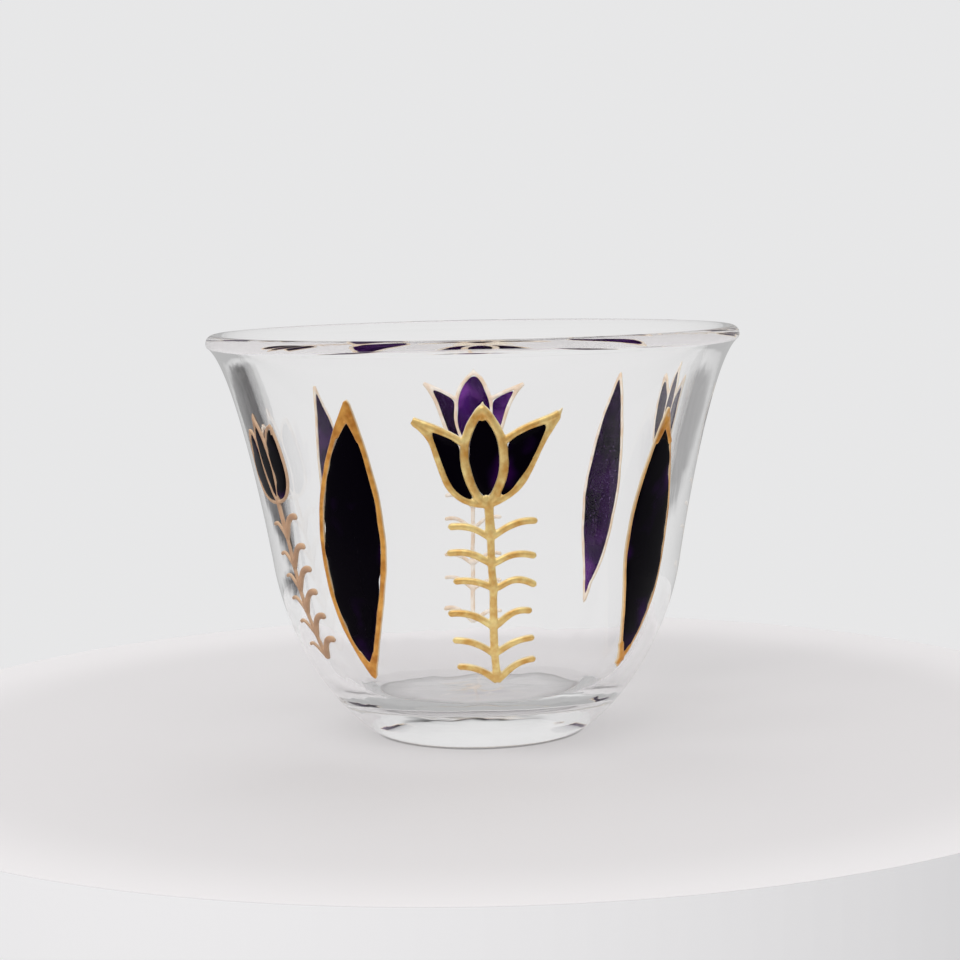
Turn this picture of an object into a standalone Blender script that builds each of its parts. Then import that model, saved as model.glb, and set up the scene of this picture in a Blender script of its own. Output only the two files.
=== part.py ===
"""Small clear glass coffee cup, hand painted with gold-lined purple tulips and leaves.

The cup stands on z = 0 with its axis on Z. Sizes are in metres.
"""

from math import cos, hypot, pi, radians, sin

import bmesh
import bpy
from mathutils import Matrix, Vector
from mathutils.geometry import delaunay_2d_cdt, interpolate_bezier

# Glass body
RIM_DIAMETER = 0.0700
CUP_HEIGHT = 0.0533
FOOT_DIAMETER = 0.0279
WAIST_DIAMETER = 0.0539
WAIST_HEIGHT = 0.0228
LIP_RADIUS = 0.0011
WALL = 0.0029
BASE_THICKNESS = 0.0060
FLOOR_DIAMETER = 0.0290
FOOT_CHAMFER = 0.0005

# Slopes of the walls, from the vertical, and how far each one carries along its curve
FOOT_SPREAD = radians(54.0)
WAIST_LEAN = radians(8.2)
LIP_FLARE = radians(57.0)
MOUTH_FLARE = radians(85.0)
FOOT_PULL = 0.0113
BELOW_WAIST_PULL = 0.0050
ABOVE_WAIST_PULL = 0.0025
LIP_PULL = 0.0042
FLOOR_PULL = 0.0042
BOWL_PULL = 0.0098
INSIDE_WAIST_PULL = 0.0020
MOUTH_PULL = 0.0050

# Paint
SEAT_GAP = 0.00012
POOL_GAP = 0.00018
LINE_WIDTH = 0.00105
LINE_HEIGHT = 0.00055
LINE_SHOULDER = 0.00015
POOL_DEPTH = 0.00030

# Tulip, laid flat, measured up from the foot of the flower, and how high that foot sits
TULIP_FOOT = 0.0327
APEX = 0.0128
TIP_REACH = 0.0090
TIP_HEIGHT = 0.0115
CENTRE_PETAL_WIDTH = 0.0047
CENTRE_CELL_FOOT = 0.0010
CENTRE_CELL_TIP = 0.0012
SIDE_PETAL_BELLY = 0.0062
CALYX = 0.0006
STEM_WIDTH = 0.0011
TWIG_JOINTS = (0.0036, 0.0069, 0.0100, 0.0151, 0.0189, 0.0229)
TWIG_REACH = 0.0051
TWIG_RISE = 0.0016
TWIG_ARCH = 0.0006
TWIG_WIDTH = 0.00095

# Curve handles of the motifs, as shares of the breadth and the height they span
SIDE_PETAL_OUTSIDE = ((0.98, 0.12), (0.72, 0.67))
SIDE_PETAL_TOP = ((0.73, 0.92), (0.41, 0.81))
CENTRE_PETAL_SIDE = ((0.50, 0.20), (0.82, 0.66))
TWIG_BEND = (0.30, 0.40)
LEAF_BELOW = ((0.30, 0.80), (1.00, 0.42))
LEAF_ABOVE = ((1.00, 0.42), (0.26, 0.82))
LEAF_CELL_BELOW = ((0.55, 0.78), (1.00, 0.45))
LEAF_CELL_ABOVE = ((1.00, 0.45), (0.50, 0.80))
LEAF_CELL_END = 0.10

# Leaf, laid flat, measured from its middle, how high that sits, and how far its tips bow aside
LEAF_MIDDLE = 0.0280
LEAF_LENGTH = 0.0360
LEAF_BREADTH = 0.0090
LEAF_BOW = 0.0007
LEAF_TOP_TIP = 0.0030
LEAF_BOTTOM_TIP = 0.0021

# Where the hand put each tulip: angle round the cup from the front and lean, then against the ones
# above its height, size, breadth, spread of the side tips, their height and width of the middle petal
TULIPS = (
    (radians(3.0), radians(2.3), 1.000, 1.00, 1.00, 1.00, 1.00, 1.00),
    (radians(106.0), radians(0.0), 1.045, 0.97, 1.00, 0.55, 1.00, 0.62),
    (radians(180.5), radians(1.5), 1.020, 1.00, 0.88, 0.98, 0.94, 0.98),
    (radians(299.9), radians(7.5), 0.976, 0.90, 0.95, 0.42, 1.00, 0.62),
)

# The same for each leaf: angle, lean, height, length, breadth and bow
LEAVES = (
    (radians(50.5), radians(0.0), 0.971, 0.99, 1.00, -0.6),
    (radians(135.8), radians(3.0), 1.062, 0.915, 0.87, 0.6),
    (radians(229.4), radians(0.0), 0.972, 1.00, 0.93, 0.4),
    (radians(326.6), radians(-5.0), 1.012, 1.055, 1.13, 1.8),
)

# Facets
TURN_STEPS = 64
CURVE_STEPS = 6
SHOULDER_STEP = 4
LIP_STEPS = 4
STROKE_STEPS = 4
WALL_STEPS = 48
BEND_STEP = 0.0032
WELD = 0.00002
MITRE_LIMIT = 0.6
UPRIGHT_LIMIT = 0.5

GLASS = ("clear_glass", (0.92, 0.94, 0.95, 1.0), 0.03, 0.0)
GOLD = ("gold_paste", (0.62, 0.36, 0.08, 1.0), 0.38, 0.6)
PURPLE = ("purple_paint", (0.035, 0.004, 0.07, 1.0), 0.15, 0.0)


def clear_scene():
    for item in list(bpy.data.objects):
        bpy.data.objects.remove(item, do_unlink=True)


def collection_named(name):
    collection = bpy.data.collections.new(name)
    bpy.context.scene.collection.children.link(collection)
    return collection


def paint_named(name, colour, roughness, metallic):
    material = bpy.data.materials.new(name)
    material.use_nodes = True
    shader = material.node_tree.nodes["Principled BSDF"]
    shader.inputs["Base Color"].default_value = colour
    shader.inputs["Roughness"].default_value = roughness
    shader.inputs["Metallic"].default_value = metallic
    return material


def bezier(start, pull_start, pull_end, end, steps):
    """Points along one cubic curve, both ends included."""
    knots = [Vector((x, y, 0.0)) for x, y in (start, pull_start, pull_end, end)]
    return [point.to_2d() for point in interpolate_bezier(*knots, steps + 1)]


def leaning(angle):
    """Unit vector that climbs and leans outwards from the vertical."""
    return Vector((sin(angle), cos(angle)))


def lip_point(angle):
    """A point on the round of the lip, its angle measured up from the outside."""
    centre = Vector((RIM_DIAMETER / 2 - LIP_RADIUS, CUP_HEIGHT - LIP_RADIUS))
    return centre + LIP_RADIUS * Vector((cos(angle), sin(angle)))


def outer_wall(steps):
    """Outer wall from the foot's edge up to the lip, as (radius, height)."""
    foot = Vector((FOOT_DIAMETER / 2, 0.0))
    waist = Vector((WAIST_DIAMETER / 2, WAIST_HEIGHT))
    lip = lip_point(-LIP_FLARE / 2)
    lean = leaning(WAIST_LEAN)
    bowl = bezier(foot, foot + FOOT_PULL * leaning(FOOT_SPREAD),
                  waist - BELOW_WAIST_PULL * lean, waist, steps)
    flare = bezier(waist, waist + ABOVE_WAIST_PULL * lean,
                   lip - LIP_PULL * leaning(LIP_FLARE), lip, steps)
    return bowl + flare[1:]


def inner_wall(steps):
    """Inner wall from the edge of the flat floor up to the mouth."""
    floor = Vector((FLOOR_DIAMETER / 2, BASE_THICKNESS))
    lean = leaning(WAIST_LEAN)
    waist = Vector((WAIST_DIAMETER / 2 - WALL, WAIST_HEIGHT))
    mouth = lip_point(pi - MOUTH_FLARE)
    bowl = bezier(floor, floor + Vector((FLOOR_PULL, 0.0)), waist - BOWL_PULL * lean, waist, steps)
    upper = bezier(waist, waist + INSIDE_WAIST_PULL * lean,
                   mouth - MOUTH_PULL * leaning(MOUTH_FLARE), mouth, steps)
    return bowl + upper[1:]


def outward(points, index):
    """Unit vector square to a run of points, to the right of its way."""
    before = points[max(index - 1, 0)]
    after = points[min(index + 1, len(points) - 1)]
    along = (after - before).normalized()
    return Vector((along.y, -along.x))


def cup_profile():
    """Half section, from the middle of the inner floor over the lip to that of the underside."""
    floor = [Vector((0.0, BASE_THICKNESS))]
    start, end = pi - MOUTH_FLARE, -LIP_FLARE / 2
    lip = [lip_point(start + (end - start) * step / LIP_STEPS) for step in range(1, LIP_STEPS)]
    outside = outer_wall(CURVE_STEPS)[:0:-1]
    foot = Vector((FOOT_DIAMETER / 2, 0.0))
    chamfer = [foot + FOOT_CHAMFER * leaning(FOOT_SPREAD), foot - Vector((FOOT_CHAMFER, 0.0))]
    return floor + inner_wall(CURVE_STEPS) + lip + outside + chamfer + [Vector((0.0, 0.0))]


def turned(name, profile, steps):
    mesh = bpy.data.meshes.new(name)
    points = [(radius, 0.0, height) for radius, height in profile]
    mesh.from_pydata(points, [(i, i + 1) for i in range(len(points) - 1)], [])
    body = bpy.data.objects.new(name, mesh)
    screw = body.modifiers.new("turn", "SCREW")
    screw.steps = steps
    screw.render_steps = steps
    screw.use_merge_vertices = True
    screw.merge_threshold = WELD
    screw.use_smooth_shade = True
    return body


class Wall:
    """The outer wall unrolled: distance up the wall gives radius, height and slope."""

    def __init__(self):
        self.points = outer_wall(WALL_STEPS)
        self.runs = [0.0]
        for below, above in zip(self.points, self.points[1:]):
            self.runs.append(self.runs[-1] + (above - below).length)

    def run_at_height(self, height):
        for index, (below, above) in enumerate(zip(self.points, self.points[1:])):
            if below.y <= height <= above.y:
                share = (height - below.y) / (above.y - below.y)
                return self.runs[index] + share * (self.runs[index + 1] - self.runs[index])
        raise ValueError("height is not on the wall")

    def place(self, angle, run, proud):
        """World point at an angle and a distance up the wall, standing proud of the glass."""
        last = len(self.points) - 2
        index = next((i for i in range(last) if self.runs[i + 1] >= run), last)
        below, above = self.points[index], self.points[index + 1]
        share = (run - self.runs[index]) / (self.runs[index + 1] - self.runs[index])
        square = outward(self.points, index).lerp(outward(self.points, index + 1), share)
        spot = below.lerp(above, share) + proud * square.normalized()
        return Vector((spot.x * sin(angle), -spot.x * cos(angle), spot.y))


def stroke(path, width):
    """Outline of a line of paste along a path, square where it starts and round where it ends."""
    sides = [outward(path, index) * width / 2 for index in range(len(path))]
    right = [point + side for point, side in zip(path, sides)]
    left = [point - side for point, side in zip(path, sides)]
    turns = [Matrix.Rotation(pi * step / STROKE_STEPS, 2) for step in range(1, STROKE_STEPS)]
    end = [path[-1] + turn @ sides[-1] for turn in turns]
    return right + end + left[::-1]


def shrunk(outline, distance):
    """A counter-clockwise outline moved inwards by a distance."""
    moved = []
    for index, point in enumerate(outline):
        before = (point - outline[index - 1]).normalized()
        after = (outline[(index + 1) % len(outline)] - point).normalized()
        square = Vector((-before.y - after.y, before.x + after.x))
        reach = max(square.length_squared / 2, MITRE_LIMIT)
        moved.append(point + square * distance / reach)
    return moved


def mirrored(outline):
    return [Vector((-x, y)) for x, y in reversed(outline)]


def handled(start, shares, span, end, steps):
    """A curve whose two handles are shares of a span, given as a breadth and a height."""
    breadth, height = span
    return bezier(start, *[(breadth * x, height * y) for x, y in shares], end, steps)


def centre_side(width, foot, tip):
    """Right edge of a middle petal of a width, from the height of its foot to that of its tip."""
    return handled((0.0, foot), CENTRE_PETAL_SIDE, (width, APEX), (0.0, tip), CURVE_STEPS)


def side_petal(breadth, spread, rise, shoulder):
    """Middle lines of the right petal: up its outside, and from its tip back to the middle petal."""
    tip = Vector((breadth * spread * TIP_REACH, rise * TIP_HEIGHT))
    span = (breadth * SIDE_PETAL_BELLY, rise * TIP_HEIGHT)
    outside = handled((0.0, CALYX), SIDE_PETAL_OUTSIDE, span, tip, CURVE_STEPS)
    top = handled(tip, SIDE_PETAL_TOP, tip, shoulder, CURVE_STEPS)
    return outside, top


def twig(joint, reach):
    """Middle line of one arched twig, from the stem out to the right, or left for a negative reach."""
    low, high = TWIG_BEND
    knots = ((0.0, 0.0), (low * reach, 0.0), (high * reach, TWIG_RISE + TWIG_ARCH), (reach, TWIG_RISE))
    return bezier(*[(x, y - joint) for x, y in knots], STROKE_STEPS)


def tulip_lines(breadth, spread, rise, heart):
    """Outlines of one tulip's gold paste, which run into each other, with the hole in the middle one,
    and for each of its three pools an outline and the outlines that the pool is kept out of."""
    width = heart * CENTRE_PETAL_WIDTH
    edge = centre_side(width, CALYX, APEX)
    heart_cell = centre_side(width - LINE_WIDTH, CALYX + CENTRE_CELL_FOOT, APEX - CENTRE_CELL_TIP)
    ring, cell = [side[:-1] + mirrored(side)[:-1] for side in (edge, heart_cell)]
    outside, top = side_petal(breadth, spread, rise, edge[SHOULDER_STEP])
    petal = outside[:-1] + top[:-1] + edge[SHOULDER_STEP:0:-1]
    reach = TWIG_REACH * breadth
    stem = [Vector((0.0, CALYX)), Vector((0.0, -max(TWIG_JOINTS)))]
    lines = [shrunk(ring, -LINE_WIDTH / 2), stroke(stem, STEM_WIDTH)]
    for joint in TWIG_JOINTS:
        lines += [stroke(twig(joint, side), TWIG_WIDTH) for side in (-reach, reach)]
    pools = {"centre": (shrunk(cell, POOL_GAP), [])}
    for name, side in (("left", -1), ("right", 1)):
        paths = [[Vector((side * x, y)) for x, y in path] for path in (outside, top)]
        lines += [stroke(path, LINE_WIDTH) for path in paths]
        kept_out = [stroke(path, LINE_WIDTH + 2 * POOL_GAP) for path in paths]
        kept_out.append(shrunk(ring, -LINE_WIDTH / 2 - POOL_GAP))
        pools[name] = (petal if side > 0 else mirrored(petal), kept_out)
    return lines, cell, pools


def bowed(outline, bow, length):
    """An outline on a leaf, with the leaf's tips carried aside."""
    return [Vector((x + bow * (2 * y / length) ** 2, y)) for x, y in outline]


def leaf_outline(length, breadth, bow):
    """Outer edge of a lancet leaf, counter-clockwise from its lower tip."""
    half = length / 2
    belly = breadth / 2
    lower = handled((0.0, -half), LEAF_BELOW, (belly, -half), (belly, 0.0), CURVE_STEPS)
    upper = handled((belly, 0.0), LEAF_ABOVE, (belly, half), (0.0, half), CURVE_STEPS)
    side = lower + upper[1:]
    return bowed(side[:-1] + mirrored(side)[:-1], bow, length)


def leaf_cell(length, breadth, bow):
    """Inner edge of a leaf's gold line, which stays short of the solid gold tips."""
    top = length / 2 - LEAF_TOP_TIP
    bottom = LEAF_BOTTOM_TIP - length / 2
    belly = breadth / 2 - LINE_WIDTH
    end = LEAF_CELL_END * belly
    lower = handled((end, bottom), LEAF_CELL_BELOW, (belly, bottom), (belly, 0.0), CURVE_STEPS)
    upper = handled((belly, 0.0), LEAF_CELL_ABOVE, (belly, top), (end, top), CURVE_STEPS)
    side = lower + upper[1:]
    return bowed(side + mirrored(side), bow, length)


def bend_lines(points):
    """Straight lines across a flat piece along which it can follow the round of the wall."""
    reach = max(hypot(*point) for point in points) + BEND_STEP
    count = int(reach / BEND_STEP) + 1
    places = [(k + 0.5) * BEND_STEP for k in range(-count, count)]
    across = [(Vector((-reach, place)), Vector((reach, place))) for place in places]
    upright = [(Vector((place, -reach)), Vector((place, reach))) for place in places]
    return across + upright


def flat_sheet(outlines, holes, bends):
    """One flat mesh of all the outlines less the holes, with lines to bend it along where asked."""
    points, faces, edges = [], [], []
    for ring in outlines + holes:
        faces.append(list(range(len(points), len(points) + len(ring))))
        points += ring
    if bends:
        for start, end in bend_lines(points):
            edges.append((len(points), len(points) + 1))
            points += [start, end]
    corners, _, triangles, _, _, inside = delaunay_2d_cdt(points, edges, faces, 0, WELD / 10)
    sheet = bmesh.new()
    spots = [sheet.verts.new((x, y, 0.0)) for x, y in corners]
    for triangle, owners in zip(triangles, inside):
        if owners and max(owners) < len(outlines):
            sheet.faces.new([spots[corner] for corner in triangle])
    bmesh.ops.remove_doubles(sheet, verts=sheet.verts, dist=WELD)
    bmesh.ops.dissolve_degenerate(sheet, dist=WELD, edges=sheet.edges)
    for parts, context in ((sheet.edges, "EDGES"), (sheet.verts, "VERTS")):
        bmesh.ops.delete(sheet, geom=[part for part in parts if not part.link_faces], context=context)
    return sheet


def draw_in(sheet, top, shoulder):
    """Draw the upper edge in by the shoulder, except where that would fold the top over."""
    moves = {}
    for corner in top:
        sides = [face.normal.xy.to_3d() for face in corner.link_faces
                 if abs(face.normal.z) < UPRIGHT_LIMIT]
        if sides:
            moves[corner] = sum(sides, Vector()).normalized() * shoulder
    for corner, move in moves.items():
        corner.co -= move
    crown = [face for face in sheet.faces if top.issuperset(face.verts)]
    for face in crown * 2:
        face.normal_update()
        if face.normal.z < UPRIGHT_LIMIT:
            for corner in face.verts:
                corner.co += moves.pop(corner, Vector())


def thicken(sheet, height, shoulder):
    """Raise a flat sheet to a height, with its upper edge drawn in."""
    floor = list(sheet.faces)
    grown = bmesh.ops.extrude_face_region(sheet, geom=floor, use_keep_orig=True)
    top = {item for item in grown["geom"] if isinstance(item, bmesh.types.BMVert)}
    bmesh.ops.translate(sheet, verts=list(top), vec=(0.0, 0.0, height))
    bmesh.ops.recalc_face_normals(sheet, faces=sheet.faces)
    if sheet.calc_volume(signed=True) < 0:
        bmesh.ops.reverse_faces(sheet, faces=sheet.faces)
    sheet.normal_update()
    if shoulder:
        draw_in(sheet, top, shoulder)


def painted(name, sheet, spot, collection, material):
    """A flat piece of paint laid on the wall: spot is its angle, height, lean and size."""
    angle, level, lean, size = spot
    run = WALL_MAP.run_at_height(level)
    bmesh.ops.scale(sheet, verts=sheet.verts, vec=(size, size, 1.0))
    bmesh.ops.rotate(sheet, verts=sheet.verts, matrix=Matrix.Rotation(lean, 3, "Z"))
    for corner in sheet.verts:
        across, up, proud = corner.co
        radius = WALL_MAP.place(0.0, run + up, 0.0).xy.length
        corner.co = WALL_MAP.place(angle + across / radius, run + up, SEAT_GAP + proud)
    mesh = bpy.data.meshes.new(name)
    sheet.to_mesh(mesh)
    sheet.free()
    mesh.materials.append(material)
    collection.objects.link(bpy.data.objects.new(name, mesh))


def line_work(outlines, cell):
    """Raised gold line work, flat, round a cell."""
    sheet = flat_sheet(outlines, [cell], False)
    thicken(sheet, LINE_HEIGHT, LINE_SHOULDER)
    return sheet


def pool(outline, kept_out):
    """The paint inside an outline, flat, clear of the gold that it is kept out of."""
    sheet = flat_sheet([outline], kept_out, True)
    thicken(sheet, POOL_DEPTH, 0.0)
    return sheet


def build():
    clear_scene()
    collection = collection_named("painted_coffee_cup")
    glass, gold, purple = [paint_named(*finish) for finish in (GLASS, GOLD, PURPLE)]
    cup = turned("glass_cup", cup_profile(), TURN_STEPS)
    cup.data.materials.append(glass)
    collection.objects.link(cup)
    for number, (angle, lean, height, size, *form) in enumerate(TULIPS, 1):
        spot = (angle, height * TULIP_FOOT, lean, size)
        lines, cell, pools = tulip_lines(*form)
        painted(f"tulip_{number}_gold", line_work(lines, cell), spot, collection, gold)
        for side in ("left", "centre", "right"):
            painted(f"tulip_{number}_petal_{side}", pool(*pools[side]), spot, collection, purple)
    for number, (angle, lean, height, length, breadth, bow) in enumerate(LEAVES, 1):
        spot = (angle, height * LEAF_MIDDLE, lean, 1.0)
        leaf = (length * LEAF_LENGTH, breadth * LEAF_BREADTH, bow * LEAF_BOW)
        edge = leaf_outline(*leaf)
        cell = leaf_cell(*leaf)
        painted(f"leaf_{number}_gold", line_work([edge], cell), spot, collection, gold)
        painted(f"leaf_{number}_fill", pool(shrunk(cell, POOL_GAP), []), spot, collection, purple)


WALL_MAP = Wall()
build()
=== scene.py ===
"""Looks of the painted coffee cup: clear glass, raised gold paste and purple glass paint.

Flat work is drawn in millimetres and laid on the wall of the cup, which is in metres.
"""

from math import cos, exp, pi, radians, sin, sqrt

import bmesh
import bpy
import numpy as np
from mathutils import Matrix, Vector, noise
from mathutils.geometry import delaunay_2d_cdt, interpolate_bezier
from mathutils.kdtree import KDTree


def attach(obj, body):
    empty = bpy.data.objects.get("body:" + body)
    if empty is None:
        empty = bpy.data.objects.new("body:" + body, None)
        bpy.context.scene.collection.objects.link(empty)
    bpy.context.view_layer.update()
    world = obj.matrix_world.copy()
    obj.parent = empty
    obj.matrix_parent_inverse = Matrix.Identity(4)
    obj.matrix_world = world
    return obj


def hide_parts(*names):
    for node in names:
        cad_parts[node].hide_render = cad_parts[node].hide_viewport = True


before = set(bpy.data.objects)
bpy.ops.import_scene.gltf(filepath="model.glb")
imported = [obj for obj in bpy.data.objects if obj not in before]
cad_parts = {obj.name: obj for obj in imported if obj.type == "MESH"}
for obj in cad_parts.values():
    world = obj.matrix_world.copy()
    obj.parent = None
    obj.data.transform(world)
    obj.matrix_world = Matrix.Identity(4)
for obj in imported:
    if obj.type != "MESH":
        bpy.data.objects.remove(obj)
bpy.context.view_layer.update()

MM = 0.001

# Glass body
RIM_DIAMETER = 70.0
CUP_HEIGHT = 53.3
FOOT_DIAMETER = 27.9
WAIST_DIAMETER = 53.9
WAIST_HEIGHT = 22.8
LIP_RADIUS = 1.1
WALL_THICKNESS = 2.9
BASE_THICKNESS = 6.0
FLOOR_DIAMETER = 29.0
FOOT_ROUND = 0.9
FOOT_SPREAD = radians(54.0)
WAIST_LEAN = radians(8.2)
LIP_FLARE = radians(57.0)
MOUTH_FLARE = radians(85.0)
FOOT_PULL = 11.3
BELOW_WAIST_PULL = 5.0
ABOVE_WAIST_PULL = 2.5
LIP_PULL = 4.2
FLOOR_PULL = 4.2
BOWL_PULL = 9.8
MOUTH_PULL = 5.0
INSIDE_WAIST_PULL = 2.0
PROFILE_STEPS = 36
LIP_STEPS = 16
SPIN_STEPS = 224
WALL_STEPS = 80
FOOT_EDGE_STEPS = 6
FOOT_EDGE_PULLS = (0.4, 0.3)
WELD = 0.000001

# Looks of the glass: clear, mirrored and in shade, the heights in metres between which its waves fade,
# and how often it bends a ray
GLASS_CLEAR = (0.992, 0.990, 0.992, 1.0)
GLASS_MIRROR = (0.12, 0.12, 0.12, 1.0)
GLASS_SHADE = (0.94, 0.94, 0.94, 1.0)
GLASS_IOR = 1.5
WAVES_FADE = (0.006, 0.024)
LEAST_WAVES = 0.10
MOST_BENDS = 3.5

# Colours of the paint, dark and light
GOLD_YELLOW = ((0.64, 0.29, 0.04), (1.0, 0.80, 0.34))
GOLD_ORANGE = ((0.48, 0.16, 0.015), (0.90, 0.46, 0.10))
# Tan that paints gold in shade, dark and light
GOLD_TAN_IN_SHADE = ((0.40, 0.23, 0.14), (0.58, 0.36, 0.22))
# Cream of the painted highlight along the foot of each gold line
GOLD_EDGE_HIGHLIGHT = (1.0, 0.90, 0.66)
GOLD_UNDER_GLASS = ((0.86, 0.66, 0.48), (0.98, 0.90, 0.80))
# Painted highlight at the foot of a line: below which rise it shows, its share, and how much less of it the
# tan in shade gets
EDGE_HIGHLIGHT_TOP, EDGE_HIGHLIGHT_SHARE, EDGE_HIGHLIGHT_SHADE_LOSS = 0.65, 0.75, 0.6
GOLD_CREST, GOLD_DARKER = 0.15, 0.17
GOLD_METAL = 0.45
GOLD_ROUGH, GOLD_SPECK_ROUGH, GOLD_DULL_ROUGH = 0.24, 0.2, 0.4
PURPLE = ((0.0010, 0.0003, 0.0020), (0.034, 0.002, 0.075))
VIOLET_DARK = ((0.003, 0.0008, 0.006), (0.022, 0.003, 0.042))
VIOLET_BRIGHT = ((0.050, 0.003, 0.12), (0.26, 0.06, 0.42))
VIOLET_SPECKS = (0.17, 0.09, 0.26)
PURPLE_CREST, PURPLE_DARKER = 0.3, 0.35
PATCH_CONTRAST = 1.6

# Tones of the gold: yellow at 0, orange on the leaves, and at 1 the tan that paints the left tulip's gold in
# shade
LEAF_TONE = 0.6
SHADE_TAN_TONE = 1.0

# Paint
LINE_WIDTH = 1.05
LINE_RISE = 0.50
LINE_CENTRE = 0.06
LINE_SINK = 0.020
POOL_DEPTH = 0.26
POOL_SINK = 0.035
VOXEL = 0.10
SMOOTH_ROUNDS = 3
CUT_WELD = 0.0001
UNDERSIDE = -0.9

# Hand of the painter: share and waves per millimetre of what a line does along its run
BEAD_STEP = 0.25
BEAD_FACETS = 4
BEAD_END = 0.04
SLOW_SWELL, SLOW_WAVES = 0.10, 0.35
QUICK_SWELL, QUICK_WAVES = 0.05, 1.1
WANDER, WANDER_WAVES = 0.10, 0.3
DRIFT_ROW = 17.3
DRIFT_SLICE = 4.1

# Tulip, laid flat, measured up from the foot of the flower
TULIP_FOOT = 32.7
APEX = 12.8
TIP_REACH = 9.0
TIP_HEIGHT = 11.5
CENTRE_PETAL_WIDTH = 4.7
SIDE_PETAL_BELLY = 6.2
CALYX = 0.6
SHOULDER_HEIGHT = 8.4
STEM_WIDTH = 1.1
TWIG_JOINTS = (3.6, 6.9, 10.0, 15.1, 18.9, 22.9)
TWIG_REACH = 5.1
TWIG_RISE = 1.6
TWIG_ARCH = 0.6
TWIG_WIDTH = 0.95
SIDE_PETAL_OUTSIDE = ((0.98, 0.12), (0.72, 0.67))
SIDE_PETAL_TOP = ((0.73, 0.92), (0.41, 0.81))
CENTRE_PETAL_SIDE = ((0.50, 0.20), (0.82, 0.66))
TWIG_BEND = (0.25, 0.45)
TWIG_LIFT = 0.45
HEART_SHARE = 1.12
NOTCH_SHARE = 0.76
NOTCH_LENGTH = 2.3
APEX_WHISKER = ((0.0, APEX), (0.1, APEX + 0.95))
APEX_WHISKER_WIDTH = 0.8
WHISKER_TAPER = 0.2
STEM_TOP = 0.1
STEM_SHARES = (1.12, 0.92)
STEM_STRAY, STRAY_WAVES = 0.13, 0.2
TWIG_RISE_DRIFT, TWIG_RISE_ROW = 0.5, 3.7
TWIG_ARCH_DRIFT, TWIG_ARCH_ROW = 0.8, 5.1

# Leaf, laid flat, measured from its middle
LEAF_MIDDLE = 28.0
LEAF_LENGTH = 36.0
LEAF_BREADTH = 9.0
LEAF_BOW = 0.7
LEAF_END = 0.7
LEAF_BELOW = ((0.30, 0.80), (1.00, 0.42))
LEAF_ABOVE = ((1.00, 0.42), (0.26, 0.82))

# Angle round the cup from the front, lean, height, size, breadth, spread and height of the tips, heart
TULIPS = (
    (radians(3.0), radians(2.3), 1.000, 1.00, 1.00, 1.00, 1.00, 1.00),
    (radians(106.0), radians(0.0), 1.045, 0.97, 1.00, 0.55, 1.00, 0.62),
    (radians(180.5), radians(1.5), 1.020, 1.00, 0.88, 0.98, 0.94, 0.98),
    (radians(299.9), radians(7.5), 0.976, 0.90, 0.95, 0.42, 1.00, 0.62),
)

# Angle, lean, height, length, breadth and bow of each leaf
LEAVES = (
    (radians(50.5), radians(0.0), 0.971, 0.99, 1.00, -0.6),
    (radians(135.8), radians(3.0), 1.062, 0.915, 0.87, 0.6),
    (radians(229.4), radians(0.0), 0.972, 1.00, 0.93, 0.4),
    (radians(326.6), radians(-5.0), 1.012, 1.055, 1.13, 1.8),
)

# The front tulip as the hand drew it, left and right: tips, petal curves, and from the top its twigs
FRONT_TIPS = ((8.6, 11.7), (9.1, 11.5))
FRONT_OUTSIDES = (((1.19, 0.12), (0.60, 0.71)), ((0.87, 0.18), (0.83, 0.57)))
FRONT_TOPS = (((0.83, 0.95), (0.36, 0.79)), ((0.75, 0.91), (0.50, 0.90)))
FRONT_REACHES = ((5.1, 5.4, 4.9, 5.5, 5.1, 4.9), (5.9, 5.6, 5.3, 4.9, 5.1, 5.0))
FRONT_RISES = ((1.65, 1.55, 1.05, 2.05, 2.30, 2.45), (1.65, 0.50, -0.15, 1.75, 1.90, 2.85))
FRONT_ARCHES = ((0.4, 0.6, 0.4, 0.5, -0.1, 0.1), (0.6, 1.2, 2.2, 0.7, 0.1, 0.1))
FRONT_STRAYS = (0.08, 0.04, 0.15, -0.10, -0.12, 0.07)
FRONT_HEART = -0.18
FRONT_FILLS = ((CALYX + 0.3, CALYX + 1.4), (APEX - 1.5, APEX - 0.4))
FRONT_FILL_WIDTH = 0.85
FRONT_WHISKER = (0.60, 0.75)
FRONT_WHISKER_WIDTH = 0.65

# The left tulip, drawn with a fine nozzle: its tips, petal curves and hooked twigs
SIDE_TIPS = ((3.4, 11.3), (4.7, 11.5))
SIDE_OUTSIDES = (((1.25, 0.05), (0.95, 0.74)), ((1.12, 0.06), (0.86, 0.68)))
SIDE_TOPS = (((0.60, 0.98), (0.50, 0.90)), ((0.62, 0.98), (0.50, 0.90)))
SIDE_JOINTS = (4.5, 8.8, 12.1, 15.4, 18.9, 22.5)
SIDE_REACHES = (3.6, 4.3)
SIDE_RISES = (1.9, 2.7)
SIDE_ARCH = 1.0
SIDE_LINE = 0.55
SIDE_INSET = 0.20

# Lines and insets of the two tulips at the back and of the leaves, and how clear the leaves' paint is
BACK_LINE = 0.62
BACK_HEART = 1.2
BACK_INSET = 0.24
BACK_TIP = 1.6
BACK_STEM = 0.72
FINE_TWIG = 0.58
NEAR_LEAF_LINE = 0.82
NEAR_LEAF_INSET = 0.40
FAR_LEAF_LINE = 0.55
FAR_LEAF_INSET = 0.24
LEAF_CLEAR = 0.2
LEAF_FADE_FROM = 5.0
LEAF_FADE_RUN = 18.0
LEAF_FADE_MOST = 0.6

# Solid gold in the leaf tips, top and bottom: where it starts, ends and the paint gives way, by half lengths
TIP_STARTS = (0.67, 0.745)
TIP_ENDS = (0.91, 0.93)
TIP_PAINT_ENDS = (0.78, 0.845)
TIP_BLEND = 0.16
TIP_SLOPE = 5.0
TIP_INNER = 0.62
TIP_WIDTH = 0.9
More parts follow.
